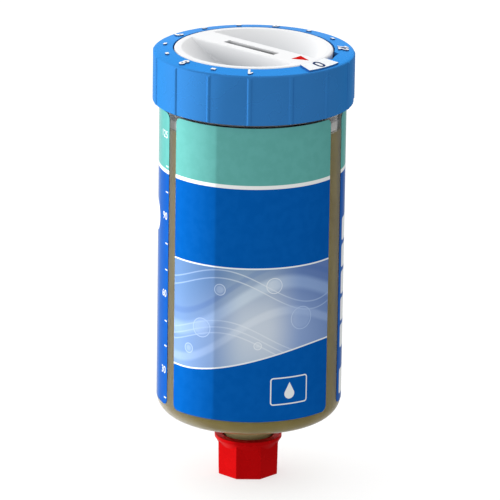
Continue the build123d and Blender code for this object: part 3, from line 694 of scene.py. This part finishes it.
def number(text, z, size=2.8, shift=-0.75):
    curve = bpy.data.curves.new("number", "FONT")
    curve.body = text
    curve.size = size
    curve.align_x = "RIGHT"
    curve.align_y = "CENTER"
    curve.extrude = 0.015
    curve.offset = 0.008
    curve.resolution_u = 4
    holder = bpy.data.objects.new("number", curve)
    scene.collection.objects.link(holder)
    bpy.context.view_layer.update()
    me = bpy.data.meshes.new_from_object(holder.evaluated_get(bpy.context.evaluated_depsgraph_get()))
    part = bmesh.new()
    part.from_mesh(me)
    bpy.data.objects.remove(holder)
    bpy.data.curves.remove(curve)
    bpy.data.meshes.remove(me)
    bmesh.ops.remove_doubles(part, verts=part.verts, dist=1e-5)
    bmesh.ops.triangulate(part, faces=part.faces)
    for vert in part.verts:
        u, w, h = vert.co
        vert.co = (u + shift, w, h + 0.015)
    on_wall(part, EDGE, z, 25.005)
    me = bpy.data.meshes.new("number")
    part.to_mesh(me)
    part.free()
    scale_print.from_mesh(me)
    bpy.data.meshes.remove(me)


for text, z in (("125", 97.4), ("90", 74.86), ("60", 53.29), ("30", 31.8)):
    number(text, z)
scale_ink = moulded("scale_ink", (0.88, 0.93, 0.95), rough=0.25, spec=0.2, metal=0.3, vary=0.03, grain=0.1, depth=0.001, cloud=1.0)
marks = mesh_object("level_scale", scale_print, scale_ink)
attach(marks, "root")


# ---------------------------------------------------------------- floor
def floor_finish():
    t = Tree("floor")
    v = t.coords()
    soft = t.noise(v, 9.0, 3.0, 0.5)
    d = t.new("BsdfDiffuse")
    t.put(d.inputs[0], t.mix(t.step(soft, 0.3, 0.7), (0.400, 0.400, 0.402), (0.412, 0.412, 0.414)))
    e = t.new("Emission")
    e.inputs[0].default_value = (1, 1, 1, 1)
    e.inputs[1].default_value = 0.66
    a = t.new("AddShader")
    t.nt.links.new(d.outputs[0], a.inputs[0])
    t.nt.links.new(e.outputs[0], a.inputs[1])
    clear = t.new("BsdfTransparent")
    m = t.new("MixShader")
    t.put(m.inputs[0], t.new("NewGeometry").outputs["Backfacing"])
    t.nt.links.new(a.outputs[0], m.inputs[1])
    t.nt.links.new(clear.outputs[0], m.inputs[2])
    return t.finish(m.outputs[0])


bm = bmesh.new()
half, n = 30.0, 12
grid = [[bm.verts.new((-half + 2 * half * i / n, -half + 2 * half * j / n, -0.00003)) for j in range(n + 1)] for i in range(n + 1)]
for i in range(n):
    for j in range(n):
        bm.faces.new((grid[i][j], grid[i + 1][j], grid[i + 1][j + 1], grid[i][j + 1]))
floor = mesh_object("floor", bm, floor_finish())
if floor.data.polygons[0].normal.z < 0:
    floor.data.flip_normals()
floor.visible_diffuse = False
floor.visible_glossy = False
floor.visible_shadow = False


# ---------------------------------------------------------------- studio light
world = bpy.data.worlds.new("studio")
scene.world = world
w = Tree("studio", world)
x, y, z = w.split(w.new("TexCoord").outputs["Generated"])
turn_about = w.math("ARCTAN2", x, w.math("MULTIPLY", y, -1.0))
place = w.math("ADD", w.math("MULTIPLY", turn_about, 1 / (2 * pi)), 0.5)
ramp = w.new("ValToRGB")
w.put(ramp.inputs[0], place)
TOP = 3.0
stops = [(-180, 0.6), (-155, 1.5), (-130, 2.3), (-98, 2.5), (-45.3, 1.2), (-44.7, 0.62), (0, 0.68), (60, 0.68), (110, 0.55), (150, 0.6), (180, 0.6)]
ramp.color_ramp.interpolation = "LINEAR"
el = ramp.color_ramp.elements
el[0].position, el[1].position = 0.0, 1.0
for p, e in stops[1:-1]:
    el.new((p + 180) / 360)
for e, (p, value) in zip(sorted(el, key=lambda q: q.position), stops):
    e.position = (p + 180) / 360
    e.color = (value / TOP, value / TOP, value / TOP, 1)
round_light = w.math("MULTIPLY", ramp.outputs[0], TOP)
height = w.math("ARCSINE", z)
rear = w.math("MULTIPLY", w.step(w.math("ABSOLUTE", turn_about), radians(125), radians(155)), w.step(height, radians(-4), radians(6)))
over = w.step(height, radians(40), radians(60))
under = w.step(height, radians(-75), radians(-50), 1.0, 0.0)
light = w.mix(rear, round_light, 2.2)
light = w.mix(over, light, 0.8)
light = w.mix(under, light, 0.6)
bg = w.new("Background")
w.put(bg.inputs[0], light)
seen = w.new("Background")
seen.inputs[0].default_value = (1, 1, 1, 1)
pick = w.new("MixShader")
w.put(pick.inputs[0], w.new("LightPath").outputs["Is Camera Ray"])
w.nt.links.new(bg.outputs[0], pick.inputs[1])
w.nt.links.new(seen.outputs[0], pick.inputs[2])
out = w.new("OutputWorld")
w.nt.links.new(pick.outputs[0], out.inputs["Surface"])
